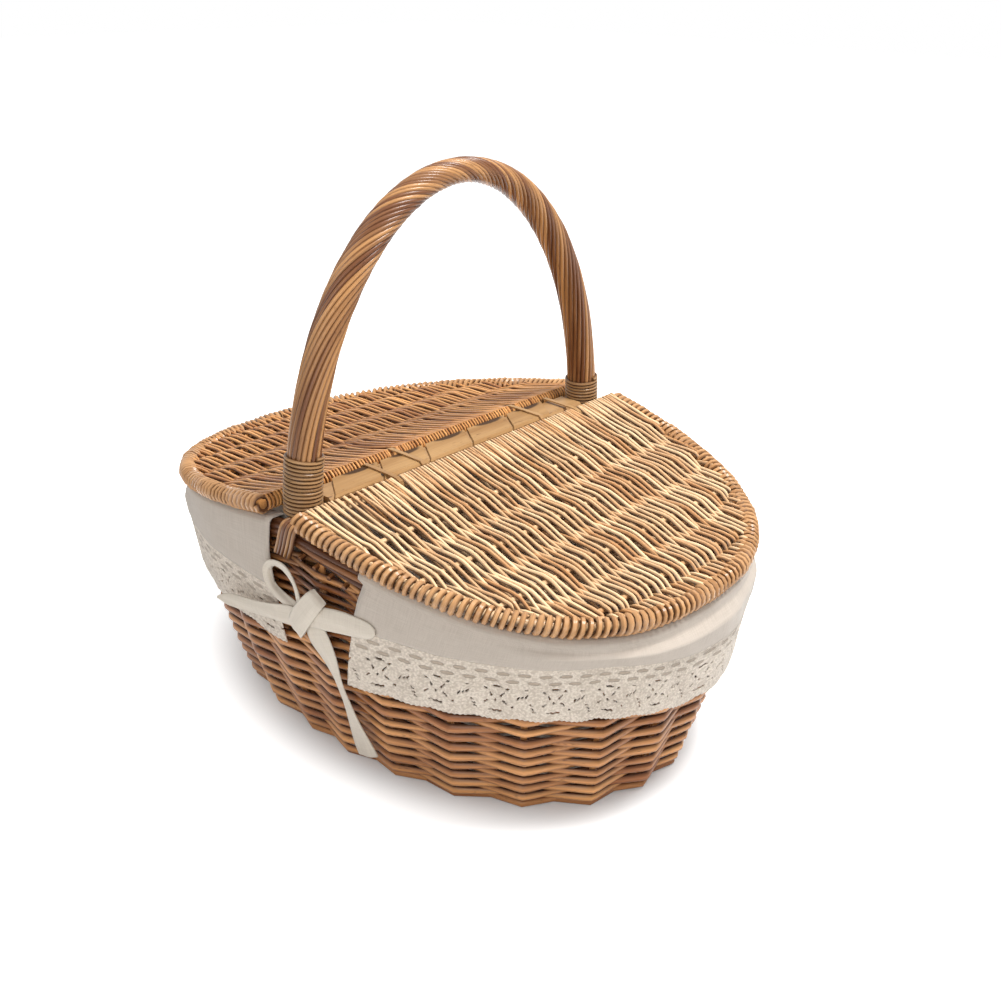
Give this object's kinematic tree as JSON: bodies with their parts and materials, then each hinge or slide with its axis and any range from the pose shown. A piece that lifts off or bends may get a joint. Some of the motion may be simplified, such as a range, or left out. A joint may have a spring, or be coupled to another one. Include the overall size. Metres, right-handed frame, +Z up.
{
  "type": "picnic basket",
  "caption": "Oval willow picnic basket with two hinged woven lids, a twisted rod handle, and a tied cotton lining with a lace hem turned over the rim.",
  "frame": {"origin": "middle of the basket's underside, the foot's resting plane being z = 0", "axes": "+X along the basket's length towards one lid, +Z up; the handle stands across the basket in the plane x = 0, and the lids' hinges run along Y"},
  "size_m": [0.402, 0.31, 0.3575],
  "materials": {
    "brown_willow": "peeled and boiled willow, soft sheen",
    "honey_willow": "honey coloured willow, soft sheen",
    "straw_willow": "straw coloured willow, soft sheen",
    "handle_willow": "brown willow, soft sheen",
    "peeled_cane": "split cane, satin",
    "cotton": "natural linen and cotton, matt",
    "cotton_lace": "openwork cotton lace, matt"
  },
  "bodies": {
    "basket": {"stake_01": "brown_willow", "stake_02": "brown_willow", "stake_03": "brown_willow", "stake_04": "brown_willow", "stake_05": "brown_willow", "stake_06": "brown_willow", "stake_07": "brown_willow", "stake_08": "brown_willow", "stake_09": "brown_willow", "stake_10": "brown_willow", "stake_11": "brown_willow", "stake_12": "brown_willow", "stake_13": "brown_willow", "stake_14": "brown_willow", "stake_15": "brown_willow", "stake_16": "brown_willow", "stake_17": "brown_willow", "stake_18": "brown_willow", "stake_19": "brown_willow", "stake_20": "brown_willow", "stake_21": "brown_willow", "stake_22": "brown_willow", "stake_23": "brown_willow", "stake_24": "brown_willow", "weaver_first": "brown_willow", "weaver_second": "brown_willow", "foot_hoop": "brown_willow", "base_sticks": "brown_willow", "rim_border": "honey_willow", "base_weave": "honey_willow", "centre_bar": "straw_willow", "bar_binding": "straw_willow", "handle_twist": "handle_willow", "handle_core": "handle_willow", "near_lashing": "handle_willow", "far_lashing": "handle_willow", "near_whipping": "peeled_cane", "far_whipping": "peeled_cane", "right_hinge_loop_near": "peeled_cane", "right_hinge_loop_far": "peeled_cane", "left_hinge_loop_near": "peeled_cane", "left_hinge_loop_far": "peeled_cane", "lining_bag": "cotton", "right_cuff": "cotton", "left_cuff": "cotton", "near_bow": "cotton", "far_bow": "cotton", "right_lace": "cotton_lace", "left_lace": "cotton_lace"},
    "right_lid": {"right_lid_frame": "straw_willow", "right_lid_hinge_rod": "straw_willow", "right_lid_weave": "straw_willow"},
    "left_lid": {"left_lid_frame": "honey_willow", "left_lid_hinge_rod": "honey_willow", "left_lid_weave": "honey_willow"}
  },
  "joints": [
    {"name": "right_lid_hinge", "type": "hinge", "parent": "basket", "child": "right_lid", "pos_m": [0.0183, 0, 0.172], "axis": [0, -1, 0], "range_deg": [0, 101]},
    {"name": "left_lid_hinge", "type": "hinge", "parent": "basket", "child": "left_lid", "pos_m": [-0.0183, 0, 0.172], "axis": [0, 1, 0], "range_deg": [0, 101]}
  ]
}
